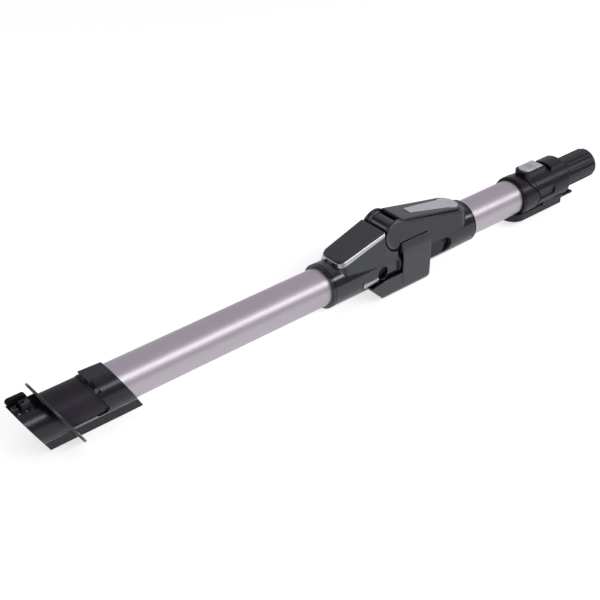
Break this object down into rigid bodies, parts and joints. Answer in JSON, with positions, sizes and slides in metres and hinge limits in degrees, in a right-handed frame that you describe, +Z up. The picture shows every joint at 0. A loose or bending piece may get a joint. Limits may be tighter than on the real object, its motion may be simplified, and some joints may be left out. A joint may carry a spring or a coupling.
{
  "type": "vacuum cleaner tube",
  "caption": "Folding metal tube for a vacuum cleaner, with a bored socket at one end, a latched spigot at the other and a hinged joint with a guard between.",
  "frame": {"origin": "on the floor under the middle of the tube's length", "axes": "+X along the tube towards the spigot, +Y along the fold hinge, +Z up"},
  "size_m": [0.7162, 0.0684, 0.0796],
  "materials": {
    "satin_aluminium": "satin anodised",
    "charcoal": "satin charcoal moulding",
    "black": "matte black moulding",
    "silver_button": "satin silver",
    "bright_trim": "bright silver",
    "steel": "plain steel",
    "hose_rubber": "matte"
  },
  "bodies": {
    "lower": {"socket_housing": "black", "grip_panel": "black", "finger_flange": "black", "contact_wall": "black", "plug_block": "charcoal", "contact_pins": "steel", "lower_tube": "satin_aluminium", "lower_arm": "charcoal", "cover_plate": "charcoal", "cover_trim": "bright_trim", "guide_bars": "bright_trim", "flexible_hose": "hose_rubber"},
    "upper": {"hinge_pin": "steel", "hinge_washers": "steel", "upper_arm": "charcoal", "upper_lid": "charcoal", "upper_tube": "satin_aluminium", "end_collar": "black", "spigot": "black", "button_pin": "steel", "fold_spring": "steel", "end_spring": "steel"},
    "release": {"fold_button": "silver_button", "lock_pawl": "steel"},
    "end_release": {"end_button": "silver_button"},
    "guard": {"guard": "charcoal"}
  },
  "joints": [
    {"name": "fold", "type": "hinge", "parent": "lower", "child": "upper", "pos_m": [0.04702, 0, 0.0644], "axis": [0, -1, 0], "range_deg": [0, 90], "deforming": ["flexible_hose"]},
    {"name": "guard_turn", "type": "hinge", "parent": "lower", "child": "guard", "pos_m": [0.04702, 0, 0.0644], "axis": [0, -1, 0], "range_deg": [0, 45]},
    {"name": "fold_button_press", "type": "hinge", "parent": "upper", "child": "release", "pos_m": [0.08139, 0, 0.06673], "axis": [0, 1, 0], "range_deg": [0, 3.5], "stiffness_Nm_per_rad": 2, "springref_deg": -5.73, "deforming": ["fold_spring"]},
    {"name": "end_button_press", "type": "slide", "parent": "upper", "child": "end_release", "axis": [0, 0, -1], "range_m": [0, 0.0025], "stiffness_N_per_m": 800, "springref_m": -0.002, "deforming": ["end_spring"]}
  ],
  "couplings": [
    {"joint": "guard_turn", "follows": "fold", "ratio": 0.5}
  ]
}
